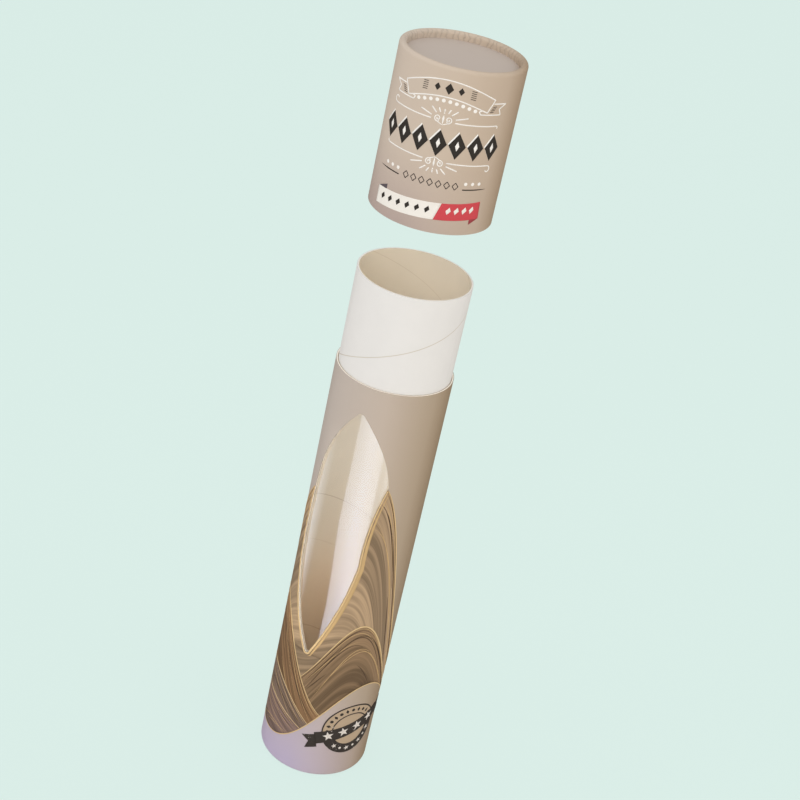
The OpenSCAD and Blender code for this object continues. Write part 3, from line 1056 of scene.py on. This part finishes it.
class GIFTTUBE_OT_stage(bpy.types.Operator):
    """Set up the pale floor, the soft light and the camera"""

    bl_idname = "gifttube.stage"
    bl_label = "Studio"

    def execute(self, context):
        stage = context.scene.gift_tube.stage
        self.floor(stage)
        self.room(context, stage)
        self.lamps(stage)
        self.card(stage)
        self.camera(context, stage)
        context.scene.view_settings.view_transform = "Standard"
        return {"FINISHED"}

    def sheet(self, name, span, material):
        """A square that reaches span to each side, as a part of the stage."""
        corners = [(-span, -span, 0), (span, -span, 0), (span, span, 0), (-span, span, 0)]
        mesh = bpy.data.meshes.new(name)
        mesh.from_pydata(corners, [], [(0, 1, 2, 3)])
        mesh.materials.append(material)
        sheet = bpy.data.objects.new(name, mesh)
        bpy.context.scene.collection.objects.link(sheet)
        return sheet

    def seen(self, tree):
        """1 for the rays that see the backdrop's colour: those from the camera,
        and those that only went through the film."""
        path = add(tree, "LightPath").outputs
        direct = add(tree, BELOW, path["Diffuse Depth"], 0.5)
        film = add(tree, TIMES, path["Is Transmission Ray"], direct)
        return add(tree, MOST, path["Is Camera Ray"], film)

    def floor(self, stage):
        """A pale floor that is mostly its own colour, and keeps a soft shadow."""
        material, tree, shader = new_material("Pale studio floor", 0.9)
        share = self.seen(tree)
        tint = add(tree, BLEND, share, i6=rgba(stage.bounce), i7=rgba(stage.backdrop))
        gloss = add(tree, "LightPath").outputs["Is Glossy Ray"]
        tint = add(tree, BLEND, gloss, i6=tint, i7=rgba(stage.mirrored, 0.4))
        join(tree, shader, Base_Color=tint, Specular_IOR_Level=0.0)
        glow = add(tree, "Emission", rgba(stage.backdrop), 1.015)
        own = add(tree, TIMES, share, 0.88)
        mix = add(tree, "MixShader", own, shader, glow)
        join(tree, tree.nodes["Material Output"], mix)
        self.sheet("floor", 6.0, material)

    def room(self, context, stage):
        """Even white light, seen as the backdrop's colour."""
        world = bpy.data.worlds.new("Studio room")
        context.scene.world = world
        world.use_nodes = True
        tree = world.node_tree
        even = tree.nodes["Background"]
        join(tree, even, (1, 1, 1, 1), stage.sky)
        back = add(tree, "Background", rgba(stage.backdrop), 1.0)
        dim = add(tree, "Background", rgba(stage.mirrored), 0.3)
        gloss = add(tree, "LightPath").outputs["Is Glossy Ray"]
        lit = add(tree, "MixShader", gloss, even, dim)
        mix = add(tree, "MixShader", self.seen(tree), lit, back)
        join(tree, tree.nodes["World Output"], mix)

    def lamps(self, stage):
        """A big soft box at the left of the camera, one in front, a warm one at
        the right and a small one overhead; three fills inside the tube, and a
        narrow beam on the window's left cut edge."""
        for name, power, size, place, aim, code, beam in (
            ("Main soft box", stage.key, (1.1, 1.3), (1.5, -52, 1.0), 0.22, "#FBF9FF", 180),
            ("Front soft box", stage.front, (0.8, 0.8), (1.4, -10, 1.02), 0.33, "#FFFCF8", 45),
            ("Warm soft box", stage.warm, (0.8, 1.0), (1.4, 66, 0.7), 0.22, "#FFF1E0", 180),
            ("Top soft box", stage.top, (0.7, 0.7), (0.3, -30, 1.6), 0.22, "#FFFFFF", 180),
        ):
            self.lamp(name, power, size, place, (0, 0, aim), code, beam)
        behind = (0.0, 9.0, 0.0)
        for name, share, long, high, code in (
            ("Inner fill", 1.0, 0.17, 0.2, "#EEF2FF"),
            ("High inner fill", 0.22, 0.05, 0.208, "#E8ECFF"),
            ("Low inner fill", 0.25, 0.06, 0.09, "#FFC896"),
        ):
            place = (0.02, -VIEW_TURN, high)
            self.lamp(name, stage.inner * share, (0.03, long), place, behind, code, 180, False)
        place, rim = (0.25, 20, 0.158), (-0.0219, -0.024, 0.158)
        size = (0.02, 0.14)
        self.lamp("Window edge light", stage.edge, size, place, rim, "#FFF6EA", 6, False)

    def lamp(self, name, power, size, place, aim, code, beam, mirrored=True):
        """A soft box: its place is its distance out, its bearing from the
        camera in degrees and its height; it faces the aim, and beam is how wide
        it shines, in degrees."""
        light = bpy.data.lights.new(name, "AREA")
        light.shape = "RECTANGLE"
        light.size, light.size_y = size
        light.energy = power
        light.color = linear(code)
        light.spread = math.radians(beam)
        lamp = bpy.data.objects.new(name, light)
        turn = math.radians(VIEW_TURN + place[1])
        lamp.location = (place[0] * math.sin(turn), -place[0] * math.cos(turn), place[2])
        way = Vector(aim) - lamp.location
        lamp.rotation_euler = way.to_track_quat("-Z", "Y").to_euler()
        lamp.visible_camera = False
        lamp.visible_transmission = lamp.visible_glossy = mirrored
        bpy.context.scene.collection.objects.link(lamp)

    def card(self, stage):
        """What the clear film mirrors, and sharp mirror rays alone see: a card on
        the floor with a bright fan at the left of the camera, a dimmer one
        beside it, and a grey stripe at the right. Its light is a curve over the
        bearing on the card, in degrees, and the bright fan narrows close to the
        tube. The card is clear near the tube and far from it."""
        material, tree, _ = new_material("Mirrored studio card", 1.0)
        place = add(tree, "TexCoord").outputs["Object"]
        x, y, _ = add(tree, "SeparateXYZ", place).outputs
        bearing = add(tree, BEARING, x, add(tree, TIMES, y, -1.0))
        reach = add(tree, LENGTH, place)
        bend = add(tree, "MapRange", Value=reach, From_Min=0.30, From_Max=0.20, To_Max=0.19)
        bright = (
            (-44, 0), (-42.5, 0.5), (-38, 0.6), (-26, 0.78), (-12, 1), (-2, 0.95), (8, 0.78),
            (14, 0.72), (18, 0.25), (24, 0.22), (29, 0.4), (40, 0.4), (60, 0),
        )
        side = ((-137, 0), (-124, 0.16), (-108, 0.15), (-93, 0.08), (-88, 0))
        fans = []
        for way, curve in ((add(tree, MINUS, bearing, bend), bright), (bearing, side)):
            share = add(tree, "MapRange", way, -math.pi, math.pi)
            stops = [((spot + 180) / 360, (level, level, level, 1)) for spot, level in curve]
            fans.append(add(tree, ("ValToRGB", {"stops": stops}), share))
        ends = stage.sheen * 1.6, stage.sheen * 0.85
        fade = add(tree, "MapRange", reach, 0.17, 0.4, *ends)
        level = add(tree, TIMES, add(tree, PLUS, *fans), fade)
        glow = add(tree, "Emission", rgba(linear("#DFEAFF")), level)
        close = add(tree, "MapRange", reach, 0.11, 0.14)
        wide = add(tree, "MapRange", reach, 0.72, 0.46)
        sharp = add(tree, "LightPath").outputs["Is Singular Ray"]
        shown = add(tree, TIMES, add(tree, TIMES, close, wide), sharp)
        mix = add(tree, "MixShader", shown, add(tree, "BsdfTransparent"), glow)
        join(tree, tree.nodes["Material Output"], mix)
        card = self.sheet("mirror_card", 0.75, material)
        card.location = (0, 0, 0.002)
        card.rotation_euler = (0, 0, math.radians(VIEW_TURN))
        card.visible_camera = card.visible_diffuse = card.visible_transmission = False
        card.visible_shadow = card.visible_volume_scatter = False

    def camera(self, context, stage):
        """The photograph's place: 0.81 m away, 0.69 m up, rolled 12.6 degrees."""
        right = (0.860585, 0.471733, 0.191996)
        up = (-0.380593, 0.345144, 0.857919)
        behind = (0.338442, -0.811384, 0.476564)
        data = bpy.data.cameras.new("Camera")
        data.lens = stage.lens
        data.sensor_width = 36.0
        data.clip_start, data.clip_end = 0.05, 30.0
        camera = bpy.data.objects.new("Camera", data)
        turned = Matrix(tuple(zip(right, up, behind))).to_4x4()
        turned.translation = (0.319271, -0.748521, 0.68627)
        camera.matrix_world = turned
        context.scene.collection.objects.link(camera)
        context.scene.camera = camera


class GIFTTUBE_PT_panel(bpy.types.Panel):
    """Lists the steps that dress the box"""

    bl_idname = "GIFTTUBE_PT_panel"
    bl_label = "Gift Tube Box"
    bl_space_type = "VIEW_3D"
    bl_region_type = "UI"
    bl_category = "Gift Tube"

    def draw(self, context):
        for operator in OPERATORS:
            self.layout.operator(operator.bl_idname)


SETTINGS = (
    PaperSettings, FilmSettings, DuneSettings, LabelSettings, SealSettings, StageSettings,
    GiftTubeSettings,
)
OPERATORS = (
    GIFTTUBE_OT_papers,
    GIFTTUBE_OT_film,
    GIFTTUBE_OT_dunes,
    GIFTTUBE_OT_seal,
    GIFTTUBE_OT_label,
    GIFTTUBE_OT_stage,
)


def register():
    for each in (*SETTINGS, *OPERATORS, GIFTTUBE_PT_panel):
        bpy.utils.register_class(each)
    bpy.types.Scene.gift_tube = bpy.props.PointerProperty(type=GiftTubeSettings)


def unregister():
    del bpy.types.Scene.gift_tube
    for each in reversed((*SETTINGS, *OPERATORS, GIFTTUBE_PT_panel)):
        bpy.utils.unregister_class(each)


def main():
    register()
    bpy.ops.gifttube.papers()
    bpy.ops.gifttube.film()
    bpy.ops.gifttube.dunes()
    bpy.ops.gifttube.seal()
    bpy.ops.gifttube.label()
    bpy.ops.gifttube.stage()


if __name__ == "__main__":
    main()
